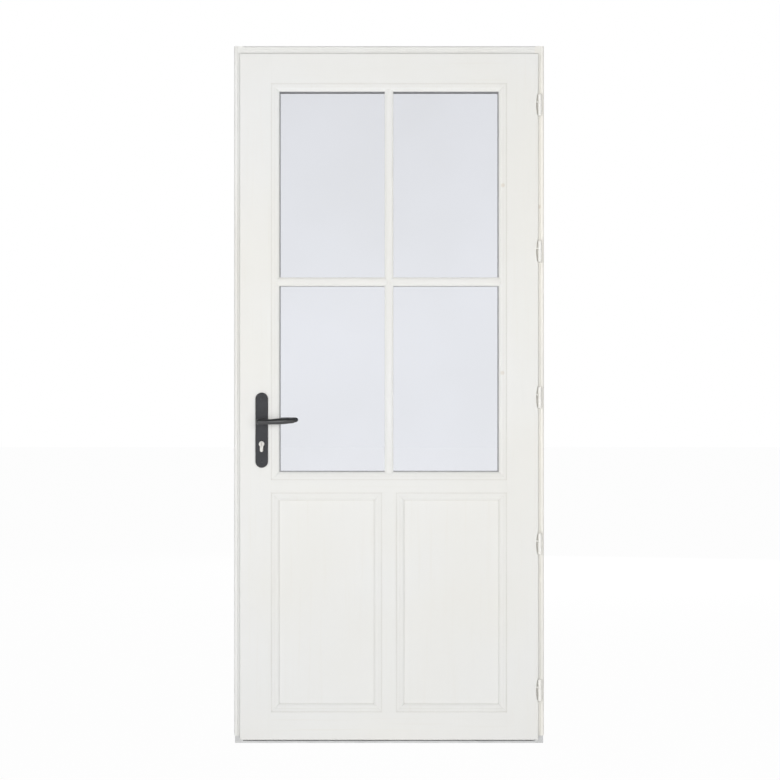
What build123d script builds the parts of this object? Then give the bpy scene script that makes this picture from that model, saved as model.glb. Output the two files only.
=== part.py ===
"""Half-glazed painted wooden entrance door in its frame, opening inwards.

Millimetres, +Z up. The inside of the house is at -Y, the hinges are at +X, and the origin is the
middle of the threshold's underside.
"""

import os
from math import cos, pi

from build123d import *

# Frame of two jambs, a head and an aluminium threshold
frame_width = 960.0
frame_height = 2160.0
frame_depth = 62.0
jamb_face = 28.0  # face of a jamb beside the leaf's body
head_face = 35.0
stop_width = 20.0  # how far the stop stands in past that face
stop_depth = 18.0
edge_strip = 10.0  # raised strip along the outer edge of the inside face
edge_step = 1.5
frame_round = 5.5
threshold_height = 23.0
threshold_nose = 14.0  # height of its outer edge
threshold_flat = 23.0  # depth of its level top
threshold_inset = 2.5  # how far its ends stand in from the jambs
threshold_wall = 2.2
toe_height = 6.5  # low front edge of the threshold
toe_depth = 14.0
groove_count = 3  # foot grooves in the level top
groove_width = 3.0
groove_depth = 1.0
groove_pitch = 6.5
groove_first = 5.0  # from the level top's front edge to the first groove's middle

# Leaf with a lip that laps the frame on all four sides
leaf_thick = 52.0
lip_thick = 12.0
lip_gap = 5.0
side_gap = 7.0  # round the leaf's body
lip_lap = 10.0
lip_round = 3.0
threshold_lap = 11.2
stile_face = 97.8
top_rail_face = 92.9
bottom_rail_face = 86.4
lock_rail_face = 38.8
lock_rail_low = 776.9  # height of the lock rail's lower edge
mullion_face = 43.8

# Moulding round glass and panels, the same on both faces
moulding_width = 24.6
quirk_width = 2.6
quirk_depth = 2.0
fillet_drop = 0.5
fillet_end = 11.0
ovolo_start = 13.0
ovolo_step = 1.6
ovolo_drop = 6.0
ovolo_bulge = 1.0
mitre_gap = 0.14

# Glazing, panels and glazing bars
infill_depth = 10.0  # below the leaf's inside face
pane = 4.0
cavity = 20.0
gasket = 2.0
gasket_show = 2.2
gasket_inset = 10.0  # from the opening's edge to the gasket's hidden edge
glass_play = 5.0
panel_play = 3.0
spacer_width = 8.0
spacer_inset = 2.0
bar_width = 27.0
bar_flat = 9.0
bar_thick = 7.5
bar_edge = 3.5
bar_bulge = 0.7

# Screw-in hinges
hinge_count = 5
hinge_from_foot = 158.8  # lowest split between knuckles, above the lip's foot
hinge_from_top = 154.0  # highest split, below the lip's top
pin_out = 4.5  # pin axis beyond the lip's edge
pin_front = 12.5  # and before the frame's inside face
knuckle_r = 6.2
knuckle_up = 29.0
knuckle_down = 39.0
knuckle_round = 3.0
pin_r = 3.5
pin_up = 24.0
running_gap = 0.05
thrust_gap = 0.3
pin_end_gap = 0.5
leaf_stem_r = 2.6
leaf_stem_rise = 4.0  # above the split
frame_stem_r = 3.5
stem_bite = 26.0
notch_depth = 7.5
notch_r = 118.0
notch_drop = 5.0  # middle of the notch below the split

# Lock, plates and levers
backset = 68.7  # spindle axis in from the lip's edge
spindle_z = 997.1
cylinder_drop = 70.0
plate_height = 232.0
plate_width = 38.5
plate_thick = 8.0
plate_bevel = 2.0
plate_drop = 27.2  # plate's middle below the spindle
spindle_side = 8.0
spindle_hole_r = 10.4
spindle_bite = 28.0  # depth of the square hole in a lever
spindle_short = 1.0
spindle_play = 0.02
neck_r = 9.0
neck_sink = 5.0
neck_play = 0.2
lever_sections = 20
lever_end_round = 4.0
lever_stand = 40.0  # lever's middle before the plate
lever_half_thick = 6.6
lever_oval = 0.92  # most thickness for its height
lever_keys = [  # distance from the spindle, half height and rise of the middle
    (-15.8, 7.2, 0.2),
    (0.0, 10.0, -0.2),
    (20.3, 7.3, -2.2),
    (59.2, 9.9, 0.6),
    (106.6, 5.4, 2.8),
]
profile_r = 8.5
profile_width = 10.0
profile_height = 33.0
cylinder_proud = 3.0
cylinder_play = 0.4
plug_r = 6.3
plug_groove = 0.4
plug_groove_depth = 0.6
keyway_width = 2.2
keyway_depth = 9.0
keyway_up = 3.6
keyway_down = 5.4
faceplate_width = 20.0
faceplate_thick = 3.0
faceplate_from_foot = 130.0  # of the leaf's body
faceplate_from_top = 198.0
strike_height = 240.0
bolt_thick = 12.0
latch_height = 34.0
dead_bolt_height = 40.0
bolt_length = 20.0
bolt_play = 0.2
strike_play = 1.5
latch_rise = 10.0  # latch's middle above the spindle
dead_bolt_fall = 10.0  # dead bolt's middle below the cylinder

# Weatherboard on the outside
board_clear = 10.0  # beside each stop
board_reach = 50.0
board_rise = 8.0  # above the foot of the leaf's body
board_height = 55.0
board_nose = 14.0
board_top = 8.0
board_hollow = 10.2
drip_inset = 10.0
drip_width = 6.0
drip_depth = 5.0

# Seal in the frame's stop
seal_half = 4.5
seal_out = 4.0
seal_root = 3.0
seal_root_half = 2.0
seal_end_gap = 1.0

# Modelling allowances
cut = 1.0  # how far a cutter runs past a face
tiny = 0.01

# Planes and lines that follow from the sizes above
frame_half = frame_width / 2
inside = -frame_depth / 2
outside = frame_depth / 2
stop_face = outside - stop_depth
jamb_edge = frame_half - jamb_face
stop_edge = jamb_edge - stop_width
head_edge = frame_height - head_face
head_stop = head_edge - stop_width

riser = inside + toe_depth
flat_end = riser + threshold_flat

lip_back = inside - lip_gap
front = lip_back - lip_thick
back = front + leaf_thick
lip_half = jamb_edge + lip_lap
lip_top = head_edge + lip_lap
lip_low = threshold_height - threshold_lap
body_half = jamb_edge - side_gap
body_top = head_edge - side_gap
body_low = threshold_height + side_gap

stile_edge = lip_half - stile_face
top_rail_edge = lip_top - top_rail_face
bottom_rail_edge = lip_low + bottom_rail_face
lock_rail_high = lock_rail_low + lock_rail_face
mullion_half = mullion_face / 2
infill_front = front + infill_depth
glass_back = infill_front + 2 * pane + cavity
infill_back = glass_back + gasket
glazing = (-stile_edge, stile_edge, lock_rail_high, top_rail_edge)
left_opening = (-stile_edge, -mullion_half, bottom_rail_edge, lock_rail_low)
right_opening = (mullion_half, stile_edge, bottom_rail_edge, lock_rail_low)

pin_x = lip_half + pin_out
pin_y = inside - pin_front
hinge_low = lip_low + hinge_from_foot
hinge_pitch = (lip_top - hinge_from_top - hinge_low) / (hinge_count - 1)
hinge_heights = [hinge_low + hinge_pitch * i for i in range(hinge_count)]

handle_x = backset - lip_half
plate_z = spindle_z - plate_drop
faceplate_low = body_low + faceplate_from_foot
faceplate_high = body_top - faceplate_from_top
cylinder_z = spindle_z - cylinder_drop
lock_y = (lip_back + back) / 2
latch_z = spindle_z + latch_rise
dead_bolt_z = cylinder_z - dead_bolt_fall
seal_x = (body_half + stop_edge) / 2
seal_z = (body_top + head_stop) / 2
board_half = stop_edge - board_clear
board_low = body_low + board_rise


def slab(x0, x1, y0, y1, z0, z1):
    """Box between six coordinates."""
    return Pos((x0 + x1) / 2, (y0 + y1) / 2, (z0 + z1) / 2) * Box(x1 - x0, y1 - y0, z1 - z0)


def ring(opening, outer, inner, y0, y1):
    """Flat rectangular ring, given as insets from an opening."""
    x0, x1, z0, z1 = opening
    whole = slab(x0 + outer, x1 - outer, y0, y1, z0 + outer, z1 - outer)
    return whole - slab(x0 + inner, x1 - inner, y0 - cut, y1 + cut, z0 + inner, z1 - inner)


def rod(radius, start, end):
    """Round bar between two points."""
    axis = Vector(*end) - Vector(*start)
    return extrude(Plane(origin=start, z_dir=axis) * Circle(radius), amount=axis.length)


def swept_x(outline, half):
    """Closed outline in Y and Z, run along X to both sides of the middle."""
    face = make_face(outline)
    return extrude(Plane(origin=(-half, 0, 0), x_dir=(0, 1, 0), z_dir=(1, 0, 0)) * face, amount=2 * half)


def bowed(start, end, bow):
    """Arc between two points that leaves their chord by bow, to the left."""
    start, end = Vector(*start), Vector(*end)
    left = (end - start).normalized().rotate(Axis.Z, 90)
    return ThreePointArc(start, (start + end) / 2 + left * bow, end)


def turned(shape, angle):
    """Upright piece turned to lie along another side of an opening."""
    return Rot(0, angle, 0) * shape


# Mouldings: quirk, fillet, small step and ovolo


def moulding_face(depth):
    """Section with X into the opening and Y up from the seat to the leaf's face."""
    ovolo_top = (ovolo_start, depth - ovolo_step)
    ovolo_foot = (moulding_width, depth - ovolo_drop)
    flats = Polyline(
        ovolo_foot,
        (moulding_width, 0),
        (0, 0),
        (0, depth - quirk_depth),
        (quirk_width, depth - quirk_depth),
        (quirk_width, depth - fillet_drop),
        (fillet_end, depth - fillet_drop),
        (fillet_end, depth - ovolo_step),
        ovolo_top,
    )
    return make_face(flats + bowed(ovolo_top, ovolo_foot, ovolo_bulge))


def mitred(length, depth, gap):
    """Straight moulding along Z, centred on the origin, rising towards +Y and mitred at both ends."""
    run = extrude(Pos(0, 0, -length / 2) * moulding_face(depth), amount=length)
    half = length / 2 - gap
    far = half - moulding_width
    corners = (0, -half), (moulding_width, -far), (moulding_width, far), (0, half)
    return run & extrude(Plane.XZ * make_face(Polyline(*corners, close=True)), amount=2 * depth, both=True)


def four_sides(opening, seat, upright, level):
    """Left, right, upper and lower moulding round an opening, on a seat at the given Y."""
    x0, x1, z0, z1 = opening
    middle_x, middle_z = (x0 + x1) / 2, (z0 + z1) / 2
    return [
        Pos(x0, seat, middle_z) * upright,
        Pos(x1, seat, middle_z) * turned(upright, 180),
        Pos(middle_x, seat, z1) * turned(level, 90),
        Pos(middle_x, seat, z0) * turned(level, -90),
    ]


def bead_frame(opening, seat):
    """Four loose beads on the inside, with a hair's breadth between their mitres."""
    x0, x1, z0, z1 = opening
    upright = mirror(mitred(z1 - z0, seat - front, mitre_gap), about=Plane.XZ)
    level = mirror(mitred(x1 - x0, seat - front, mitre_gap), about=Plane.XZ)
    return Compound(children=four_sides(opening, seat, upright, level))


def worked_mouldings(opening):
    """Moulding worked on the four members round an opening, on their outside face."""
    x0, x1, z0, z1 = opening
    depth = back - infill_back
    return four_sides(opening, infill_back, mitred(z1 - z0, depth, 0), mitred(x1 - x0, depth, 0))


# Frame


def jamb_section(edge, stop, limit):
    """Frame section with X across, from the outer edge at limit to the inner edges."""
    step = limit - edge_strip
    return Polyline(
        (limit, outside),
        (limit, inside - edge_step),
        (step, inside - edge_step),
        (step, inside),
        (edge, inside),
        (edge, stop_face),
        (stop, stop_face),
        (stop, outside),
        close=True,
    )


def rounded_front(shape, outward):
    """Softens the front arris that lies farthest out along an axis."""
    return fillet(shape.edges().group_by(Axis.Y)[0].sort_by(outward)[-1], frame_round)


def hinge_jamb_blank():
    section = make_face(jamb_section(jamb_edge, stop_edge, frame_half))
    return rounded_front(extrude(section, amount=frame_height), Axis.X)


def frame_head_blank():
    section = make_face(jamb_section(head_edge, head_stop, frame_height))
    across = Plane(origin=(jamb_edge, 0, 0), x_dir=(0, 0, 1), z_dir=(-1, 0, 0))
    return rounded_front(extrude(across * section, amount=2 * jamb_edge), Axis.Z)


def threshold_outline():
    """Section in Y and Z: a low toe in front, a level top and a fall to the outside."""
    return Polyline(
        (inside, 0),
        (inside, toe_height),
        (riser, toe_height),
        (riser, threshold_height),
        (flat_end, threshold_height),
        (outside, threshold_nose),
        (outside, 0),
        close=True,
    )


def jamb_foot_cut():
    """Room for the threshold at the feet of both jambs."""
    half = frame_half + cut
    front_cut = slab(-half, half, inside - edge_step - cut, riser, -cut, threshold_height)
    return swept_x(threshold_outline(), half) + front_cut


def threshold_shape():
    """Hollow extrusion with a web at mid-depth and a block at each end, where a jamb stands."""
    wall = threshold_wall
    rear = outside - wall
    fall = (threshold_height - threshold_nose) / (outside - flat_end)
    rear_chamber = Polyline(
        (wall, wall),
        (wall, threshold_height - wall),
        (flat_end, threshold_height - wall),
        (rear, threshold_height - wall - fall * (rear - flat_end)),
        (rear, wall),
        close=True,
    )
    half = frame_half - threshold_inset
    front_chamber = slab(-half - cut, half + cut, riser + wall, 0, wall, threshold_height - wall)
    shape = swept_x(threshold_outline(), half) - swept_x(rear_chamber, half + cut) - front_chamber
    for x0, x1 in ((-half, -jamb_edge), (jamb_edge, half)):
        shape += slab(x0, x1, inside, riser, 0, threshold_height)
    return shape - threshold_grooves()


def threshold_grooves():
    """Foot grooves between the jambs."""
    first, half = riser + groove_first, groove_width / 2
    middles = [first + groove_pitch * i for i in range(groove_count)]
    low, high = threshold_height - groove_depth, threshold_height + cut
    return [slab(-jamb_edge, jamb_edge, y - half, y + half, low, high) for y in middles]


def seal_face():
    """Bulb towards -Y on a root that sits in a groove."""
    flats = Polyline(
        (seal_half, 0),
        (seal_root_half, 0),
        (seal_root_half, seal_root),
        (-seal_root_half, seal_root),
        (-seal_root_half, 0),
        (-seal_half, 0),
    )
    return make_face(flats + ThreePointArc((-seal_half, 0), (0, -seal_out), (seal_half, 0)))


def frame_seal_shape():
    foot = threshold_height + seal_end_gap
    upright = extrude(seal_face(), amount=head_stop - seal_end_gap - foot)
    across = 2 * (seal_x - seal_half - seal_end_gap)
    level = turned(extrude(Pos(0, 0, -across / 2) * seal_face(), amount=across), 90)
    return Compound(
        children=[
            Pos(-seal_x, stop_face, foot) * upright,
            Pos(seal_x, stop_face, foot) * upright,
            Pos(0, stop_face, seal_z) * level,
        ]
    )


def strike_blank(proud):
    """Block let into the lock jamb, standing proud of its face by a given amount."""
    half, rise = faceplate_width / 2, strike_height / 2
    x0, x1 = -jamb_edge - faceplate_thick, -jamb_edge + proud
    return slab(x0, x1, lock_y - half, lock_y + half, plate_z - rise, plate_z + rise)


def strike_pockets():
    return bolt_pockets(-jamb_edge - faceplate_thick - bolt_length, -jamb_edge + cut, strike_play)


def bolt_pockets(x0, x1, play):
    """Two blocks at the latch and the dead bolt, with play all round."""
    y0, y1 = lock_y - bolt_thick / 2 - play, lock_y + bolt_thick / 2 + play
    latch, dead = latch_height / 2 + play, dead_bolt_height / 2 + play
    blocks = slab(x0, x1, y0, y1, latch_z - latch, latch_z + latch)
    return blocks + slab(x0, x1, y0, y1, dead_bolt_z - dead, dead_bolt_z + dead)


# Leaf


def lip_and_body(x0, x1, z0, z1):
    """Member of the leaf between lip lines, with its body held in from the lip."""
    lip = slab(x0, x1, front, lip_back, z0, z1)
    edges = [e for e in lip.edges() if abs(e.center().Y - front) < tiny and at_lip(e.center())]
    body = slab(
        max(x0, -body_half), min(x1, body_half), lip_back, back, max(z0, body_low), min(z1, body_top)
    )
    return fillet(edges, lip_round) + body


def at_lip(point):
    """Whether a point lies on the lip's outer edge."""
    level = abs(point.Z - lip_top) < tiny or abs(point.Z - lip_low) < tiny
    return level or abs(abs(point.X) - lip_half) < tiny


def hinge_stile_shape(mouldings):
    stile = lip_and_body(stile_edge, lip_half, lip_low, lip_top) + mouldings
    for height in hinge_heights:
        cutter_x = lip_half + notch_r - notch_depth
        cutter_z = height - notch_drop
        stile -= rod(notch_r, (cutter_x, front - cut, cutter_z), (cutter_x, lip_back + cut, cutter_z))
        stem_z = height + leaf_stem_rise
        stile -= rod(leaf_stem_r, (pin_x, pin_y, stem_z), (lip_half - stem_bite, pin_y, stem_z))
    return stile


def lock_stile_shape(mouldings):
    stile = lip_and_body(-lip_half, -stile_edge, lip_low, lip_top) + mouldings
    stile -= faceplate_blank()
    stile -= lock_pockets()
    y0, y1 = front - cut, back + cut
    stile -= rod(spindle_hole_r, (handle_x, y0, spindle_z), (handle_x, y1, spindle_z))
    return stile - profile_bar(y0, y1, cylinder_play)


def sheet(opening, play, y0, y1):
    x0, x1, z0, z1 = opening
    return slab(x0 + play, x1 - play, y0, y1, z0 + play, z1 - play)


# Glazing bars


def bar_blank(length):
    """Upright glazing bar, flat in front and rounded over to both edges."""
    half, flat = bar_width / 2, bar_flat / 2
    outline = Polyline((half, bar_edge), (half, 0), (-half, 0), (-half, bar_edge))
    outline += bowed((-half, bar_edge), (-flat, bar_thick), bar_bulge)
    outline += Line((-flat, bar_thick), (flat, bar_thick))
    outline += bowed((flat, bar_thick), (half, bar_edge), bar_bulge)
    return extrude(Pos(0, 0, -length / 2) * make_face(outline), amount=length)


def bars(seat, facing_inside, scribed_to):
    """Upright bar and the two halves of the cross bar, scribed to what they meet."""
    x0, x1, z0, z1 = glazing
    upright, across = bar_blank(z1 - z0 - 2 * ovolo_start), bar_blank(x1 - x0 - 2 * ovolo_start)
    if facing_inside:
        upright, across = mirror(upright, about=Plane.XZ), mirror(across, about=Plane.XZ)
    place = Pos((x0 + x1) / 2, seat, (z0 + z1) / 2)
    upright, across = place * upright, place * turned(across, 90)
    for piece in scribed_to:
        upright -= piece
        across -= piece
    return upright, across - upright


# Hinges


def hinge_pin_shape(height):
    """Lower knuckle with the pin, screwed into the jamb by its stem."""
    knuckle = rod(knuckle_r, (pin_x, pin_y, height - knuckle_down), (pin_x, pin_y, height))
    knuckle = fillet(knuckle.edges().sort_by(Axis.Z)[0], knuckle_round)
    knuckle += rod(pin_r, (pin_x, pin_y, height), (pin_x, pin_y, height + pin_up))
    stem_z = height - knuckle_down / 2
    return knuckle + rod(frame_stem_r, (pin_x, pin_y, stem_z), (pin_x, inside + stem_bite, stem_z))


def hinge_knuckle_shape(height):
    """Upper knuckle on the pin, screwed into the leaf's lip by its stem."""
    low = height + thrust_gap
    knuckle = rod(knuckle_r, (pin_x, pin_y, low), (pin_x, pin_y, height + knuckle_up))
    knuckle = fillet(knuckle.edges().sort_by(Axis.Z)[-1], knuckle_round)
    stem_z = height + leaf_stem_rise
    knuckle += rod(leaf_stem_r, (pin_x, pin_y, stem_z), (lip_half - stem_bite, pin_y, stem_z))
    bore_end = height + pin_up + pin_end_gap
    return knuckle - rod(pin_r + running_gap, (pin_x, pin_y, low - cut), (pin_x, pin_y, bore_end))


# Lock and handles


def faceplate_blank():
    high, low = faceplate_high, faceplate_low
    outline = Rot(0, 0, 90) * SlotOverall(high - low, faceplate_width)
    plane = Plane(origin=(-body_half, lock_y, (high + low) / 2), x_dir=(0, 1, 0), z_dir=(1, 0, 0))
    return extrude(plane * outline, amount=faceplate_thick)


def lock_pockets():
    return bolt_pockets(-body_half - cut, -body_half + bolt_length, bolt_play)


def profile_bar(y0, y1, play):
    """Lock cylinder's round and tongue profile along Y."""
    tongue_low = cylinder_z + profile_r - profile_height - play
    half = profile_width / 2 + play
    tongue = slab(handle_x - half, handle_x + half, y0, y1, tongue_low + half, cylinder_z)
    end = rod(half, (handle_x, y0, tongue_low + half), (handle_x, y1, tongue_low + half))
    return tongue + end + rod(profile_r + play, (handle_x, y0, cylinder_z), (handle_x, y1, cylinder_z))


def lock_cylinder_shape():
    y0 = front - plate_thick - cylinder_proud
    y1 = back + plate_thick + cylinder_proud
    body = profile_bar(y0, y1, 0)
    half = keyway_width / 2
    keyway = slab(-half, half, -keyway_depth, keyway_depth, -keyway_down, keyway_up)
    groove = Circle(plug_r + plug_groove) - Circle(plug_r)
    groove = extrude(Plane.XZ * groove, amount=plug_groove_depth, both=True)
    for y in (y0, y1):
        body -= Pos(handle_x, y, cylinder_z) * keyway
        body -= Pos(handle_x, y, cylinder_z) * groove
    return body


def plate_shape(face_y, outward):
    """Long plate with round ends on one face of the leaf; outward is -1 inside and 1 outside."""
    outline = Rot(0, 0, 90) * SlotOverall(plate_height, plate_width)
    plane = Plane(origin=(handle_x, face_y, plate_z), x_dir=(1, 0, 0), z_dir=(0, outward, 0))
    plate = extrude(plane * outline, amount=plate_thick)
    rim = plate.faces().sort_by(Axis.Y)[0 if outward < 0 else -1].edges()
    plate = chamfer(rim, plate_bevel)
    y0, y1 = sorted((face_y - outward * cut, face_y + outward * (plate_thick + cut)))
    plate -= rod(neck_r + neck_play, (handle_x, y0, spindle_z), (handle_x, y1, spindle_z))
    return plate - profile_bar(y0, y1, cylinder_play)


def lever_section(x):
    """Half height and rise of the lever's middle, eased between the key sections."""
    (x0, half0, rise0), (x1, half1, rise1) = [s for s in zip(lever_keys, lever_keys[1:]) if s[0][0] <= x][-1]
    share = (1 - cos(pi * (x - x0) / (x1 - x0))) / 2
    return half0 + (half1 - half0) * share, rise0 + (rise1 - rise0) * share


def lever_grip():
    """Lever along X with its spindle axis on the origin, lofted through ellipses."""
    start, end = lever_keys[0][0], lever_keys[-1][0]
    sections = []
    for i in range(lever_sections + 1):
        x = start + (end - start) * i / lever_sections
        half, rise = lever_section(x)
        plane = Plane(origin=(x, 0, rise), x_dir=(0, 1, 0), z_dir=(1, 0, 0))
        sections.append(plane * Ellipse(min(lever_half_thick, lever_oval * half), half))
    grip = loft(sections)
    ends = grip.faces().sort_by(Axis.X)
    return fillet(ends[0].edges() + ends[-1].edges(), lever_end_round)


def lever_shape(face_y, outward):
    """Lever on a round neck that turns in its plate and takes the square spindle."""
    middle_y = face_y + outward * (plate_thick + lever_stand)
    seat = face_y + outward * (plate_thick - neck_sink)
    lever = Pos(handle_x, middle_y, spindle_z) * lever_grip()
    lever += rod(neck_r, (handle_x, seat, spindle_z), (handle_x, middle_y, spindle_z))
    y0, y1 = sorted((seat - outward * cut, seat + outward * spindle_bite))
    return lever - spindle_bar(y0, y1, spindle_play)


def spindle_bar(y0, y1, play):
    half = spindle_side / 2 + play
    return slab(handle_x - half, handle_x + half, y0, y1, spindle_z - half, spindle_z + half)


def spindle_shape():
    past_face = plate_thick - neck_sink + spindle_bite - spindle_short
    return spindle_bar(front - past_face, back + past_face, 0)


def lock_bolts_shape():
    return bolt_pockets(-body_half, -body_half + bolt_length, 0)


def weatherboard_shape():
    """Sloped board that throws rain clear of the threshold, with a drip groove below."""
    y0, y1 = back, back + board_reach
    low, high = board_low, board_low + board_height
    drip = y1 - drip_inset
    brow, nose = (y0 + board_top, high), (y1, low + board_nose)
    outline = Polyline(
        nose,
        (y1, low),
        (drip, low),
        (drip, low + drip_depth),
        (drip - drip_width, low + drip_depth),
        (drip - drip_width, low),
        (y0, low),
        (y0, high),
        brow,
    )
    return swept_x(outline + bowed(brow, nose, -board_hollow), board_half)


# The pieces by name


def frame_parts():
    jamb = hinge_jamb_blank() - jamb_foot_cut()
    other_jamb = mirror(jamb, about=Plane.YZ)
    seals = frame_seal_shape()
    hinge_jamb = jamb - seals
    parts = {}
    for number, height in enumerate(hinge_heights, start=1):
        pin = hinge_pin_shape(height)
        hinge_jamb -= pin
        parts[f"hinge_pin_{number}"] = pin
    parts["hinge_jamb"] = hinge_jamb
    parts["lock_jamb"] = other_jamb - seals - strike_blank(cut) - strike_pockets()
    parts["frame_head"] = frame_head_blank() - jamb - other_jamb - seals
    parts["threshold"] = threshold_shape()
    parts["frame_seal"] = seals
    parts["strike_plate"] = strike_blank(0) - strike_pockets()
    return parts


def leaf_parts():
    round_glass = worked_mouldings(glazing)
    round_left = worked_mouldings(left_opening)
    round_right = worked_mouldings(right_opening)
    top_rail = lip_and_body(-stile_edge, stile_edge, top_rail_edge, lip_top)
    lock_rail = slab(-stile_edge, stile_edge, front, back, lock_rail_low, lock_rail_high)
    bottom_rail = lip_and_body(-stile_edge, stile_edge, lip_low, bottom_rail_edge)
    mullion = slab(-mullion_half, mullion_half, front, back, bottom_rail_edge, lock_rail_low)
    return {
        "lock_stile": lock_stile_shape([round_glass[0], round_left[0]]),
        "hinge_stile": hinge_stile_shape([round_glass[1], round_right[1]]),
        "top_rail": top_rail + round_glass[2],
        "lock_rail": lock_rail + [round_glass[3], round_left[2], round_right[2]],
        "bottom_rail": bottom_rail + [round_left[3], round_right[3]],
        "panel_mullion": mullion + [round_left[1], round_right[0]],
        "left_panel": sheet(left_opening, panel_play, infill_front, infill_back),
        "right_panel": sheet(right_opening, panel_play, infill_front, infill_back),
        "left_panel_beads": bead_frame(left_opening, infill_front),
        "right_panel_beads": bead_frame(right_opening, infill_front),
        "weatherboard": weatherboard_shape(),
    }


def glazing_parts():
    show = moulding_width + gasket_show
    inside_gasket = ring(glazing, gasket_inset, show, infill_front - gasket, infill_front)
    outside_gasket = ring(glazing, gasket_inset, show, glass_back, infill_back)
    beads = bead_frame(glazing, infill_front - gasket)
    inside_upright, inside_cross = bars(infill_front, True, [*beads.children, inside_gasket])
    worked = worked_mouldings(glazing)
    outside_upright, outside_cross = bars(glass_back, False, [*worked, outside_gasket])
    cavity_front, cavity_back = infill_front + pane, glass_back - pane
    spacer = glass_play + spacer_inset
    return {
        "inside_pane": sheet(glazing, glass_play, infill_front, cavity_front),
        "outside_pane": sheet(glazing, glass_play, cavity_back, glass_back),
        "glass_spacer": ring(glazing, spacer, spacer + spacer_width, cavity_front, cavity_back),
        "glazing_gaskets": Compound(children=[inside_gasket, outside_gasket]),
        "glazing_beads": beads,
        "inside_vertical_bar": inside_upright,
        "inside_cross_bar": inside_cross,
        "outside_vertical_bar": outside_upright,
        "outside_cross_bar": outside_cross,
    }


def lock_parts():
    return {
        "lock_faceplate": faceplate_blank() - lock_pockets(),
        "lock_bolts": lock_bolts_shape(),
        "lock_cylinder": lock_cylinder_shape(),
        "inside_plate": plate_shape(front, -1),
        "outside_plate": plate_shape(back, 1),
        "inside_lever": lever_shape(front, -1),
        "outside_lever": lever_shape(back, 1),
        "spindle": spindle_shape(),
    }


def main():
    parts = frame_parts() | leaf_parts() | glazing_parts() | lock_parts()
    for number, height in enumerate(hinge_heights, start=1):
        parts[f"hinge_knuckle_{number}"] = hinge_knuckle_shape(height)
    os.makedirs("parts", exist_ok=True)
    for name, shape in parts.items():
        export_step(shape, f"parts/{name}.step")


main()
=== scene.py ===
"""Half-glazed painted entrance door in its frame, seen from inside the house."""

import math

import bmesh
import bpy
from mathutils import Matrix, Vector


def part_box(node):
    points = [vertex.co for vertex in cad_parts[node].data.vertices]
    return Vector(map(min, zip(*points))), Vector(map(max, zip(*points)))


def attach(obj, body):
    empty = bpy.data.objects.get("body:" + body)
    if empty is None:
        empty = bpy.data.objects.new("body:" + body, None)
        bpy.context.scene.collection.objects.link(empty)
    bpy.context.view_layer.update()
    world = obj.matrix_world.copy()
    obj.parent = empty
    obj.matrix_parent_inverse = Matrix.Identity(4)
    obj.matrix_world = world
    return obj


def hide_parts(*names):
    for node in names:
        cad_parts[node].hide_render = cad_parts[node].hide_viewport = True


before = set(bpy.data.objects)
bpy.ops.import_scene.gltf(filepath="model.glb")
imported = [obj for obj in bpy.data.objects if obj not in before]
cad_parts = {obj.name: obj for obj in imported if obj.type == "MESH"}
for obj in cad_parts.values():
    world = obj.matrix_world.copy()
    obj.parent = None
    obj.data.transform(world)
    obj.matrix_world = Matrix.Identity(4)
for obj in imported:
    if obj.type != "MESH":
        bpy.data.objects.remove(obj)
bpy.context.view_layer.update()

# Frame: two jambs and a head of planed spruce, jointed at the upper corners and sprayed off-white
# before the door is hung. Grain runs along each member and shows only faintly through the paint.


class Wire:
    """A value in a shader tree: arithmetic on it adds Math nodes, and node() adds any other kind."""

    def __init__(self, tree, socket=None):
        self.tree = tree
        self.socket = socket

    def node(self, kind, settings=None, values=None, output=0):
        made = self.tree.nodes.new(kind)
        for name, setting in (settings or {}).items():
            setattr(made, name, setting)
        for name, value in (values or {}).items():
            if isinstance(value, Wire):
                value.into(made, name)
            else:
                made.inputs[name].default_value = value
        return Wire(self.tree, made.outputs[output])

    def into(self, node, name):
        self.tree.links.new(self.socket, node.inputs[name])

    def math(self, operation, first, second=0.0):
        return self.node("ShaderNodeMath", {"operation": operation}, {0: first, 1: second})

    def __add__(self, other):
        return self.math("ADD", self, other)

    def __sub__(self, other):
        return self.math("SUBTRACT", self, other)

    def __rsub__(self, other):
        return self.math("SUBTRACT", other, self)

    def __mul__(self, other):
        return self.math("MULTIPLY", self, other)

    __radd__ = __add__
    __rmul__ = __mul__

    def step(self, low, high):
        """Eased from 0 at low to 1 at high."""
        settings = {"interpolation_type": "SMOOTHSTEP"}
        return self.node("ShaderNodeMapRange", settings, {0: self, 1: low, 2: high})

    def mix(self, first, second):
        """Colour that goes from the first to the second as this value goes from 0 to 1."""
        sockets = {0: self, 6: first, 7: second}
        return self.node("ShaderNodeMix", {"data_type": "RGBA"}, sockets, 2)

    def vector(self, operation, other, output=0):
        sockets = {0: self, 1: other}
        return self.node("ShaderNodeVectorMath", {"operation": operation}, sockets, output)

    def noise(self, scale, detail=3.0, roughness=0.5):
        values = {"Vector": self, "Scale": scale, "Detail": detail, "Roughness": roughness}
        return self.node("ShaderNodeTexNoise", {}, values)

    def bump(self, strength, depth, normal):
        """Normal of a surface with this value as its height."""
        values = {"Strength": strength, "Distance": depth, "Height": self, "Normal": normal}
        return self.node("ShaderNodeBump", {}, values)


def srgb(red, green, blue):
    """Linear colour for sRGB values from 0 to 255."""
    return tuple(((c / 255 + 0.055) / 1.055) ** 2.4 for c in (red, green, blue)) + (1.0,)


def fresh(name, **constants):
    """New material, its shader with some inputs set, and the object's own coordinates."""
    material = bpy.data.materials.new(name)
    material.use_nodes = True
    shader = material.node_tree.nodes["Principled BSDF"]
    for socket, value in constants.items():
        shader.inputs[socket.replace("_", " ")].default_value = value
    return material, shader, Wire(material.node_tree).node("ShaderNodeTexCoord", output="Object")


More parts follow.
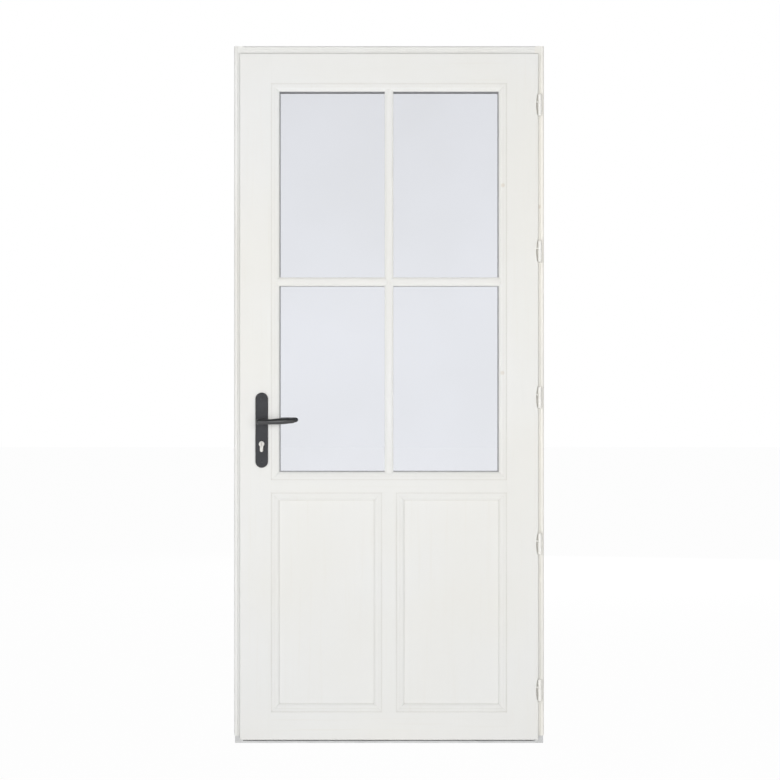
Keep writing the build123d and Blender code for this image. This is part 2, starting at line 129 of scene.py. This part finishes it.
def worn_edges(place, radius):
    """Softened normal, and a mask that is 1 on the arrises."""
    soft = place.node("ShaderNodeBevel", {"samples": 4}, {"Radius": radius})
    face = place.node("ShaderNodeNewGeometry", output="Normal")
    return soft, (1.0 - soft.vector("DOT_PRODUCT", face, "Value")).step(0.02, 0.25)


COOL_WHITE = srgb(235, 235.5, 234.5)
WARM_WHITE = srgb(234, 233.3, 229)
# Painted light: a warmer, brighter white that stands in for warm light falling on the hinge side.
WARM_PAINTED_LIGHT_WHITE = srgb(248, 245, 237)
GRAIN_TINT, GRAIN_SHOWS = srgb(222, 217, 204), 0.16
THIN_PAINT, THIN_SHOWS = srgb(226, 214, 192), 0.4
# Painted shade: a greyer, warmer tint, how strongly it shows and how far the ambient occlusion looks
# for corners.
PAINTED_SHADE_TINT, PAINTED_SHADE_SHOWS, PAINTED_SHADE_REACH = srgb(196, 193, 184), 0.45, 0.004
KNOT_TINT, KNOT_RADIUS = srgb(206, 190, 166), 0.009
GRAIN_LONG, GRAIN_ACROSS = 2.5, 85.0  # turns of the grain's noise in a metre
PAINT_ARRIS, PAINT_RELIEF = 0.0006, 0.0003


def paint(name, along, knots=(), tones=(COOL_WHITE, WARM_WHITE)):
    """Off-white paint on wood: faint grain along one axis, thin arrises, painted shade in the corners.
    """
    material, shader, place = fresh(name, IOR=1.45)
    soft, arris = worn_edges(place, PAINT_ARRIS)
    run = [GRAIN_LONG if axis == along else GRAIN_ACROSS for axis in "XYZ"]
    grain = place.vector("MULTIPLY", run).noise(1.0, 5.0, 0.62)
    stipple = place.noise(620.0, 2.0)
    colour = place.noise(1.4, 2.0).step(0.32, 0.68).mix(*tones)
    colour = (grain.step(0.52, 0.8) * GRAIN_SHOWS).mix(colour, GRAIN_TINT)
    thin = arris * place.noise(9.0, 4.0).step(0.42, 0.72)
    colour = (thin * THIN_SHOWS).mix(colour, THIN_PAINT)
    # Painted shade: corners, creases and quirks found by ambient occlusion are darkened in the paint's
    # colour.
    reach = {"Distance": PAINTED_SHADE_REACH}
    corner = 1.0 - place.node("ShaderNodeAmbientOcclusion", {"samples": 8}, reach, "AO")
    colour = (corner.step(0.15, 0.8) * PAINTED_SHADE_SHOWS).mix(colour, PAINTED_SHADE_TINT)
    for knot in knots:
        away = place.vector("DISTANCE", knot, "Value")
        near = 1.0 - away.step(KNOT_RADIUS * 0.3, KNOT_RADIUS)
        colour = (near * (0.15 + grain * 0.4)).mix(colour, KNOT_TINT)
    colour.into(shader, "Base Color")
    (0.3 + grain * 0.12 + stipple * 0.08).into(shader, "Roughness")
    (grain * 0.7 + stipple * 0.3).bump(0.35, PAINT_RELIEF, soft).into(shader, "Normal")
    return material


def dress(material, *names):
    """Gives CAD pieces one material in place of their own."""
    for name in names:
        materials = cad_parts[name].data.materials
        materials.clear()
        materials.append(material)


HINGE_JAMB_KNOTS = [(0.465, -0.031, 1.662)]
FRAME_WHITES = (srgb(240, 240.5, 239), WARM_WHITE)
dress(paint("lock_jamb_paint", "Z", tones=FRAME_WHITES), "lock_jamb")
# The hinge jamb's paint mixes in a warmer, brighter white as painted warm light.
dress(paint("hinge_jamb_paint", "Z", HINGE_JAMB_KNOTS, (WARM_WHITE, WARM_PAINTED_LIGHT_WHITE)), "hinge_jamb")
dress(paint("head_paint", "X", tones=FRAME_WHITES), "frame_head")

# Threshold: extruded aluminium, anodised to a satin grey and screwed down between the jambs' feet.
# Drawing through the die leaves fine lines along it, and feet scuff its level top.
DRAWN_LONG, DRAWN_ACROSS = 6.0, 900.0  # turns of the drawn lines' noise in a metre
METAL_ARRIS, METAL_RELIEF = 0.0006, 0.0001


def metal(name, colour, along, roughness):
    """Bare metal with fine drawn lines along one axis and faint smudges."""
    material, shader, place = fresh(name, Metallic=1.0)
    soft, arris = worn_edges(place, METAL_ARRIS)
    run = [DRAWN_LONG if axis == along else DRAWN_ACROSS for axis in "XYZ"]
    lines = place.vector("MULTIPLY", run).noise(1.0, 4.0, 0.6)
    smudge = place.noise(16.0, 4.0)
    dull = tuple(c * 0.82 for c in colour[:3]) + (1.0,)
    body = (lines * 0.5 + smudge * 0.5).step(0.3, 0.7).mix(dull, colour)
    bright = tuple(min(1.0, c * 1.15) for c in colour[:3]) + (1.0,)
    (arris * 0.6).mix(body, bright).into(shader, "Base Color")
    (roughness - 0.08 + lines * 0.1 + smudge * 0.12).into(shader, "Roughness")
    lines.bump(0.25, METAL_RELIEF, soft).into(shader, "Normal")
    return material


dress(metal("satin_aluminium", srgb(238, 239, 239), "X", 0.5), "threshold")

# Seal: a soft black rubber bulb pushed into a groove in the stop, round the sides and the head.
# It is matt, with a bloom of dust.


def rubber(name, colour, dusty):
    """Matt rubber or soft plastic with fine pores and a dusty bloom."""
    material, shader, place = fresh(name, IOR=1.4)
    soft, arris = worn_edges(place, 0.0004)
    pores = place.noise(900.0, 3.0)
    bloom = place.noise(22.0, 4.0)
    (bloom.step(0.4, 0.75) * 0.5 + arris * 0.2).mix(colour, dusty).into(shader, "Base Color")
    (0.55 + bloom * 0.25).into(shader, "Roughness")
    pores.bump(0.3, 0.00015, soft).into(shader, "Normal")
    return material


dress(rubber("seal_rubber", srgb(38, 38, 39), srgb(66, 65, 63)), "frame_seal")

# Strike plate: a strip of bright zinc-plated steel, punched for the latch and the dead bolt. It is let
# in flush with the lock jamb's rebate and held by four countersunk screws with cross recesses.
ZINC = metal("zinc_steel", srgb(208, 209, 211), "Z", 0.34)
dress(ZINC, "strike_plate")
STRIKE_SCREW, HEAD_SIDES, HEAD_PROUD = 0.0036, 32, 0.00008
SKIRT_SPREAD, SKIRT_DROP = 1.06, 0.0002
CROSS_ARM, CROSS_HALF, CROSS_DEPTH, CROSS_TAPER = 0.0021, 0.00045, 0.0014, 0.6
STRIKE_FROM_FOOT, STRIKE_FROM_TOP = (0.01, 0.112), (0.06, 0.01)


def piece(name, mesh_maker, material, body):
    """New object whose mesh a function fills in, riding with a body."""
    filling = bmesh.new()
    mesh_maker(filling)
    bmesh.ops.recalc_face_normals(filling, faces=filling.faces)
    mesh = bpy.data.meshes.new(name)
    filling.to_mesh(mesh)
    filling.free()
    mesh.materials.append(material)
    made = bpy.data.objects.new(name, mesh)
    bpy.context.scene.collection.objects.link(made)
    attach(made, body)
    return made


def facing(direction):
    """Turns a mesh drawn looking down +Z so that it looks along a direction."""
    return Vector(direction).to_track_quat("Z", "Y").to_matrix().to_4x4()


def cross_head(filling, place, radius):
    """Countersunk screw head, flush with its seat, with a cross recess."""
    new = filling.verts.new
    turns = [2 * math.pi * i / HEAD_SIDES for i in range(HEAD_SIDES)]
    wide = radius * SKIRT_SPREAD
    rim = [new((radius * math.cos(a), radius * math.sin(a), HEAD_PROUD)) for a in turns]
    skirt = [new((wide * math.cos(a), wide * math.sin(a), -SKIRT_DROP)) for a in turns]
    corners = []
    for quarter in range(4):
        swing = Matrix.Rotation(quarter * math.pi / 2, 2)
        arm = (CROSS_ARM, -CROSS_HALF), (CROSS_ARM, CROSS_HALF), (CROSS_HALF, CROSS_HALF)
        corners += [swing @ Vector(corner) for corner in arm]
    mouth = [new((c.x, c.y, HEAD_PROUD)) for c in corners]
    floor = [new((c.x * CROSS_TAPER, c.y * CROSS_TAPER, -CROSS_DEPTH)) for c in corners]
    loops = []
    for loop in (rim, mouth):
        loops += [filling.edges.new((a, b)) for a, b in zip(loop, loop[1:] + loop[:1])]
    bmesh.ops.triangle_fill(filling, edges=loops, use_beauty=True)
    for upper, lower in ((rim, skirt), (mouth, floor)):
        for a, b, c, d in zip(upper, upper[1:] + upper[:1], lower[1:] + lower[:1], lower):
            filling.faces.new((a, b, c, d))
    filling.faces.new(floor)
    bmesh.ops.transform(filling, matrix=place, verts=rim + skirt + mouth + floor)


def screws(name, points, direction, radius, material, body):
    """One piece that holds like screw heads at several points."""

    def fill(filling):
        for point in points:
            head = bmesh.new()
            cross_head(head, Matrix.Translation(point) @ facing(direction), radius)
            part = bpy.data.meshes.new(name)
            head.to_mesh(part)
            head.free()
            filling.from_mesh(part)
            bpy.data.meshes.remove(part)

    return piece(name, fill, material, body)


low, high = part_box("strike_plate")
heights = [low.z + up for up in STRIKE_FROM_FOOT] + [high.z - down for down in STRIKE_FROM_TOP]
points = [Vector((high.x, (low.y + high.y) / 2, z)) for z in heights]
screws("strike_screws", points, (1, 0, 0), STRIKE_SCREW, ZINC, "frame")

# Hinges: five turned steel knuckles on pins, lacquered white, screwed into the jamb and the lip.
# The lacquer is glossier than the paint and has worn bright along the split.
LACQUER_WHITE, LACQUER_CREAM = srgb(246, 245, 240), srgb(241, 239, 233)
WORN_STEEL = srgb(196, 194, 190)


def lacquer(name):
    """Glossy white lacquer on steel, rubbed through in specks on the arrises."""
    material, shader, place = fresh(name, IOR=1.5)
    soft, arris = worn_edges(place, 0.0006)
    tone = place.noise(40.0, 3.0)
    colour = tone.step(0.35, 0.7).mix(LACQUER_WHITE, LACQUER_CREAM)
    specks = arris * place.noise(160.0).step(0.5, 0.7)
    (specks * 0.5).mix(colour, WORN_STEEL).into(shader, "Base Color")
    (0.2 + tone * 0.15).into(shader, "Roughness")
    place.noise(700.0).bump(0.15, 0.0001, soft).into(shader, "Normal")
    return material


LACQUER = lacquer("white_lacquer")
for number in range(1, 6):
    dress(LACQUER, f"hinge_pin_{number}", f"hinge_knuckle_{number}")

# Leaf: stiles, rails and mullion of glued spruce, rebated so that a lip laps the frame, with the
# mouldings worked on the outside and the same off-white paint on every side.
dress(paint("stile_paint", "Z"), "lock_stile", "hinge_stile", "panel_mullion")
dress(paint("rail_paint", "X"), "top_rail", "lock_rail", "bottom_rail")

# Panels: two flat wooden boards below the lock rail, faced and painted like the leaf. Each stands
# in a rebate of the rails and stiles and is held by mitred beads.
dress(paint("panel_paint", "Z"), "left_panel", "right_panel")

# Beads and glazing bars: thin moulded strips, mitred or scribed where they meet and pinned in place.
# Knots have bled through the paint of the right-hand bead.
BEAD_KNOTS = [(0.352, -0.047, 1.727), (0.35, -0.047, 1.147)]
dress(paint("bead_paint", "Z", BEAD_KNOTS), "glazing_beads", "left_panel_beads", "right_panel_beads")
dress(paint("upright_bar_paint", "Z"), "inside_vertical_bar", "outside_vertical_bar")
dress(paint("cross_bar_paint", "X"), "inside_cross_bar", "outside_cross_bar")

# Weatherboard: a hollow-faced spruce moulding that throws rain clear of the threshold. It is glued and
# screwed along the foot of the leaf's outside and painted with it.
dress(paint("weatherboard_paint", "X"), "weatherboard")

# Panes: two sheets of clear float glass with a sealed space between, bedded in the leaf behind the
# beads. They are slightly cool in tone and hazed in places by dust.
CLEAR_TINT, HAZE_TINT, HAZE_ROUGHNESS = srgb(244, 245, 248), srgb(242, 243, 245.5), 0.02


def glass(name):
    """Clear glass with a faint uneven haze."""
    material, shader, place = fresh(name, Transmission_Weight=1.0, IOR=1.46)
    haze = place.noise(2.2, 3.0)
    haze.step(0.3, 0.75).mix(CLEAR_TINT, HAZE_TINT).into(shader, "Base Color")
    (haze.step(0.55, 0.85) * HAZE_ROUGHNESS).into(shader, "Roughness")
    return material


dress(glass("float_glass"), "inside_pane", "outside_pane")
for pane in ("inside_pane", "outside_pane"):
    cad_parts[pane].visible_shadow = False  # clear glass lets the lamps through

# Spacer and gaskets: a grey plastic strip seals the two panes, and soft grey strips bed them in the
# leaf. Only a thin line of the gasket shows round the glass.
dress(rubber("spacer_plastic", srgb(206, 207, 208), srgb(194, 194, 192)), "glass_spacer")
dress(rubber("gasket_rubber", srgb(172, 173, 175), srgb(188, 188, 187)), "glazing_gaskets")

# Lock edge: a long satin steel faceplate with round ends in the leaf's edge, screwed on in six places,
# and the latch and dead bolt behind it.
FACEPLATE_FROM_ENDS, FACEPLATE_BY_LOCK = (0.014, 0.36), [0.84, 1.08]
dress(metal("faceplate_steel", srgb(200, 201, 203), "Z", 0.36), "lock_faceplate")
dress(metal("bolt_steel", srgb(212, 211, 206), "Z", 0.26), "lock_bolts")
low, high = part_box("lock_faceplate")
heights = [low.z + up for up in FACEPLATE_FROM_ENDS] + FACEPLATE_BY_LOCK
heights += [high.z - down for down in reversed(FACEPLATE_FROM_ENDS)]
points = [Vector((low.x, (low.y + high.y) / 2, z)) for z in heights]
screws("faceplate_screws", points, (-1, 0, 0), STRIKE_SCREW, ZINC, "leaf")

# Cylinder: a brass lock body with a turned plug, plated in satin nickel. It goes right through the
# leaf, held by a screw from the lock edge, and its keyway is open on both faces.
dress(metal("nickel", srgb(230, 228, 223), "Z", 0.36), "lock_cylinder")

# Handle plates and spindle: long round-ended plates of cast metal in matt black powder, one on each
# face, with a square steel spindle between them that carries the levers.


def powder(name, colour, roughness, polish=0.0):
    """Black powder coat with a fine grit, rubbed lighter in places and on the arrises."""
    material, shader, place = fresh(name, IOR=1.5, Coat_Weight=polish, Coat_Roughness=0.22)
    soft, arris = worn_edges(place, 0.0008)
    grit = place.noise(1500.0, 2.0)
    rub = place.noise(28.0, 4.0)
    worn = tuple(c * 1.8 for c in colour[:3]) + (1.0,)
    mask = rub.step(0.42, 0.75) * 0.35 + arris * rub.step(0.35, 0.65) * 0.5
    mask.mix(colour, worn).into(shader, "Base Color")
    (roughness + rub * 0.1 - arris * 0.08).into(shader, "Roughness")
    grit.bump(0.25, 0.00012, soft).into(shader, "Normal")
    return material


dress(powder("plate_black", srgb(51, 52, 55), 0.45), "inside_plate", "outside_plate")
dress(metal("spindle_steel", srgb(150, 150, 150), "X", 0.4), "spindle")

# Levers: each is one casting, a flattened grip that swells at mid-length and ends blunt, blended into a
# round neck, in the same black powder. Hands keep it smoother than the plates.
LEVER_BLACK = powder("lever_black", srgb(34, 35, 37), 0.3, polish=0.8)
GRIP_KEYS = [  # mm: distance from the spindle, half height, rise of the middle, half thickness
    (-14.0, 9.0, -0.4, 6.6),
    (0.0, 9.6, -0.4, 6.6),
    (24.0, 8.2, -0.8, 5.9),
    (48.0, 9.2, 0.3, 6.3),
    (61.0, 9.6, 1.1, 6.6),
    (76.0, 9.2, 1.7, 6.5),
    (91.0, 8.3, 2.5, 6.0),
    (108.2, 7.6, 3.3, 5.4),
]
HUB_ROUND, TIP_ROUND, GRIP_FULLNESS = 6.0, 11.0, 2.3  # mm, mm and the sections' exponent
GRIP_RINGS, GRIP_SIDES, GRIP_DEPTH_HALF = 72, 40, 0.0066
CAST_BLEND, SMOOTHING, SMOOTH_TURNS = 0.0007, 0.5, 8
NECK = [  # share of its length, radius in mm
    (0.0, 9.0),
    (0.2, 9.0),
    (0.32, 8.3),
    (0.6, 8.0),
    (0.85, 8.6),
    (1.0, 9.2),
]


def on_curve(keys, u, column):
    """Smooth curve through one column of the keys."""
    last = len(keys) - 2
    i = min(max(sum(key[0] <= u for key in keys) - 1, 0), last)
    before, start, end, after = (keys[min(max(k, 0), last + 1)] for k in range(i - 1, i + 3))
    span = end[0] - start[0]
    t = (u - start[0]) / span
    leave = (end[column] - before[column]) / (end[0] - before[0]) * span
    arrive = (after[column] - start[column]) / (after[0] - start[0]) * span
    ease = 3 * t**2 - 2 * t**3
    bend = (t**3 - 2 * t**2 + t) * leave + (t**3 - t**2) * arrive
    return start[column] + (end[column] - start[column]) * ease + bend


def skin(filling, rings):
    """Closed skin over rings of points, with a flat face on each end."""
    loops = [[filling.verts.new(point) for point in ring] for ring in rings]
    for a, b in zip(loops, loops[1:]):
        for p, q, r, s in zip(a, a[1:] + a[:1], b[1:] + b[:1], b):
            filling.faces.new((p, q, r, s))
    for loop in (loops[0], loops[-1]):
        filling.faces.new(loop)


def lever_mesh(node, outward):
    """Grip and neck of one lever, sized from its CAD piece; outward is -1 inside and 1 outside."""
    axis = sum(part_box("spindle"), Vector()) / 2
    low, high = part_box(node)
    seat, tip = (high.y, low.y) if outward < 0 else (low.y, high.y)
    middle = tip - outward * GRIP_DEPTH_HALF
    turns = [2 * math.pi * k / GRIP_SIDES for k in range(GRIP_SIDES)]

    def full(value):
        return math.copysign(abs(value) ** (2 / GRIP_FULLNESS), value)

    oval = [(full(math.sin(a)), full(math.cos(a))) for a in turns]

    def fill(filling):
        first, last = GRIP_KEYS[0][0], GRIP_KEYS[-1][0]
        rings = []
        for k in range(GRIP_RINGS + 1):
            share = (1 - math.cos(math.pi * (k + 0.3) / (GRIP_RINGS + 0.6))) / 2
            u = first + (last - first) * share
            hub_past, tip_past = (first - u) / HUB_ROUND + 1, (u - last) / TIP_ROUND + 1
            cap = math.sqrt(1 - max(hub_past, tip_past, 0.0) ** 2)
            half, rise, thick = (on_curve(GRIP_KEYS, u, column) / 1000 for column in (1, 2, 3))
            x, z = axis.x + u / 1000, axis.z + rise
            rings.append([(x, middle + cap * thick * s, z + cap * half * c) for s, c in oval])
        skin(filling, rings)
        neck = []
        for share, radius in NECK:
            y, r = seat + (middle - seat) * share, radius / 1000
            neck.append([(axis.x + r * math.cos(a), y, axis.z + r * math.sin(a)) for a in turns])
        skin(filling, neck)

    return fill


for node, outward in (("inside_lever", -1), ("outside_lever", 1)):
    cast = piece(f"{node}_casting", lever_mesh(node, outward), LEVER_BLACK, "lever")
    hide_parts(node)
    blend = cast.modifiers.new("cast_in_one", "REMESH")
    blend.mode, blend.voxel_size, blend.use_smooth_shade = "VOXEL", CAST_BLEND, True
    soft = cast.modifiers.new("blended", "SMOOTH")
    soft.factor, soft.iterations = SMOOTHING, SMOOTH_TURNS

# Plate screws: two raised-head slotted steel screws, blacked to match the plates. They go through the
# leaf into the outside plate, and whoever drove them left their slots at an angle.
SCREW_RADIUS, SCREW_RISE, SLOT_HALF, SLOT_DEPTH = 0.0042, 0.0013, 0.00055, 0.0011
SCREW_SPACING, UPPER_SLOT, LOWER_SLOT = 0.195, 35, -20  # m, degrees, degrees


def slotted_head(filling, place):
    """Raised screw head in two halves beside a straight slot."""
    made = []
    columns, rows = 8, 16
    for side in (-1, 1):
        grid = []
        for i in range(columns + 1):
            u = SLOT_HALF + (SCREW_RADIUS - SLOT_HALF) * math.sin(math.pi / 2 * i / columns)
            reach = math.sqrt(max(SCREW_RADIUS**2 - u**2, 1e-10))
            line = []
            for j in range(rows + 1):
                v = reach * (2 * j / rows - 1)
                rise = SCREW_RISE * math.sqrt(max(1 - (u * u + v * v) / SCREW_RADIUS**2, 0.0))
                line.append(filling.verts.new((side * u, v, rise)))
            grid.append(line)
        for a, b in zip(grid, grid[1:]):
            for p, q, r, s in zip(a, a[1:], b[1:], b):
                filling.faces.new((p, q, r, s))
        floor = [filling.verts.new((v.co.x, v.co.y, SCREW_RISE - SLOT_DEPTH)) for v in grid[0]]
        middle = [filling.verts.new((0.0, v.co.y, SCREW_RISE - SLOT_DEPTH)) for v in grid[0]]
        for first, second in ((grid[0], floor), (floor, middle)):
            for p, q, r, s in zip(first, first[1:], second[1:], second):
                filling.faces.new((p, q, r, s))
        made += [v for line in grid for v in line] + floor + middle
    bmesh.ops.transform(filling, matrix=place, verts=made)


def plate_screws(filling):
    """Both heads on the inside plate, half the screw spacing above and below its middle."""
    low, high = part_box("inside_plate")
    middle = (low + high) / 2
    for end in (-1, 1):
        point = Vector((middle.x, low.y, middle.z + end * SCREW_SPACING / 2))
        tilt = Matrix.Rotation(math.radians(UPPER_SLOT if end > 0 else LOWER_SLOT), 4, "Z")
        slotted_head(filling, Matrix.Translation(point) @ facing((0, -1, 0)) @ tilt)


SCREW_BLACK = powder("screw_black", srgb(60, 61, 63), 0.3)
heads = piece("plate_screws", plate_screws, SCREW_BLACK, "leaf")
for polygon in heads.data.polygons:
    polygon.use_smooth = True

# Studio: a pale floor, a large soft lamp behind the camera, one at each side and one beyond the door, a
# small one that draws the handle's edges, and a white surround.
FLOOR_HALF, FLOOR_GLOW, FLOOR_GREY = 30.0, 0.975, (0.86, 0.86, 0.86, 1.0)
WHITE = (1.0, 1.0, 1.0, 1.0)
bpy.ops.mesh.primitive_plane_add(size=2 * FLOOR_HALF)
floor = bpy.context.object
floor.name = "floor"
material = bpy.data.materials.new("pale_floor")
material.use_nodes = True
tree = material.node_tree
start = Wire(tree)
pale = tree.nodes["Principled BSDF"]
pale.inputs["Base Color"].default_value = FLOOR_GREY
pale.inputs["Roughness"].default_value = 0.9
glow = start.node("ShaderNodeEmission", {}, {"Color": WHITE, "Strength": 1.0})
path = start.node("ShaderNodeLightPath").socket.node
seen = Wire(tree, path.outputs["Is Camera Ray"])
for ray in ("Is Transmission Ray", "Is Glossy Ray"):
    seen = seen.math("MAXIMUM", seen, Wire(tree, path.outputs[ray]))
shaders = {0: seen * FLOOR_GLOW, 1: Wire(tree, pale.outputs[0]), 2: glow}
surface = start.node("ShaderNodeMixShader", {}, shaders)
surface.into(tree.nodes["Material Output"], "Surface")
floor.data.materials.append(material)

ROOM_LOW, ROOM_HIGH = (0.8, 0.81, 0.83, 1.0), (0.25, 0.24, 0.22, 1.0)
ROOM_SIDES = (0.24, 0.24, 0.24, 1.0)
world = bpy.data.worlds.new("studio")
bpy.context.scene.world = world
world.use_nodes = True
tree = world.node_tree
start = Wire(tree)
path = start.node("ShaderNodeLightPath").socket.node
direction = start.node("ShaderNodeTexCoord", output="Generated")
upward = start.node("ShaderNodeSeparateXYZ", {}, {0: direction}, "Z")
through_door = start.node("ShaderNodeSeparateXYZ", {}, {0: direction}, "Y")
inward, outward = 0.0 - through_door, through_door.step(-0.02, 0.02)
through = Wire(tree, path.outputs["Is Transmission Ray"]) * outward
seen = start.math("MAXIMUM", Wire(tree, path.outputs["Is Camera Ray"]), through)
level = upward.step(0.02, 0.17).mix(ROOM_LOW, ROOM_HIGH)
room = outward.mix(inward.step(0.55, 0.95).mix(ROOM_SIDES, level), ROOM_SIDES)
soft = start.node("ShaderNodeBackground", {}, {"Color": room, "Strength": 1.0})
white = start.node("ShaderNodeBackground", {}, {"Color": WHITE, "Strength": 1.0})
surface = start.node("ShaderNodeMixShader", {}, {0: seen, 1: soft, 2: white})
surface.into(tree.nodes["World Output"], "Surface")

DOOR_MIDDLE = Vector((0.0, -0.05, 1.09))


def lamp(name, place, watts, width, height, mirrored=True):
    """Soft rectangular lamp aimed at the door; glass and metal show it only if it is mirrored."""
    data = bpy.data.lights.new(name, "AREA")
    data.shape = "RECTANGLE"
    data.energy = watts
    data.size = width
    data.size_y = height
    made = bpy.data.objects.new(name, data)
    made.location = place
    made.rotation_euler = (DOOR_MIDDLE - made.location).to_track_quat("-Z", "Y").to_euler()
    made.visible_glossy = made.visible_transmission = mirrored
    bpy.context.scene.collection.objects.link(made)


lamp("front_softbox", Vector((0.0, -6.6, 1.2)), 146.0, 2.8, 2.6, mirrored=False)
lamp("left_lamp", Vector((-2.2, -4.6, 1.3)), 45.0, 1.2, 2.6, mirrored=False)
lamp("right_lamp", Vector((2.2, -4.6, 1.3)), 39.0, 1.2, 2.6, mirrored=False)
lamp("outside_softbox", Vector((1.2, 6.4, 1.6)), 215.0, 2.8, 2.6, mirrored=False)
lamp("glint_lamp", Vector((-0.9, -4.6, 1.05)), 10.0, 0.35, 0.5)

# Camera: level and square to the inside face, as the photograph was taken, with the whole door in a
# square picture. It stands far enough back for nearly parallel edges.
PICTURE_WIDTH, CAMERA_BACK, SENSOR = 2.418, 5.8, 36.0
PICTURE_MIDDLE = Vector((0.003, -0.031, 1.094))
camera = bpy.data.objects.new("camera", bpy.data.cameras.new("camera"))
camera.data.sensor_width = SENSOR
camera.data.lens = SENSOR * CAMERA_BACK / PICTURE_WIDTH
camera.location = PICTURE_MIDDLE - Vector((0.0, CAMERA_BACK, 0.0))
camera.rotation_euler = (math.pi / 2, 0.0, 0.0)
bpy.context.scene.collection.objects.link(camera)
bpy.context.scene.camera = camera
bpy.context.scene.view_settings.view_transform = "Standard"
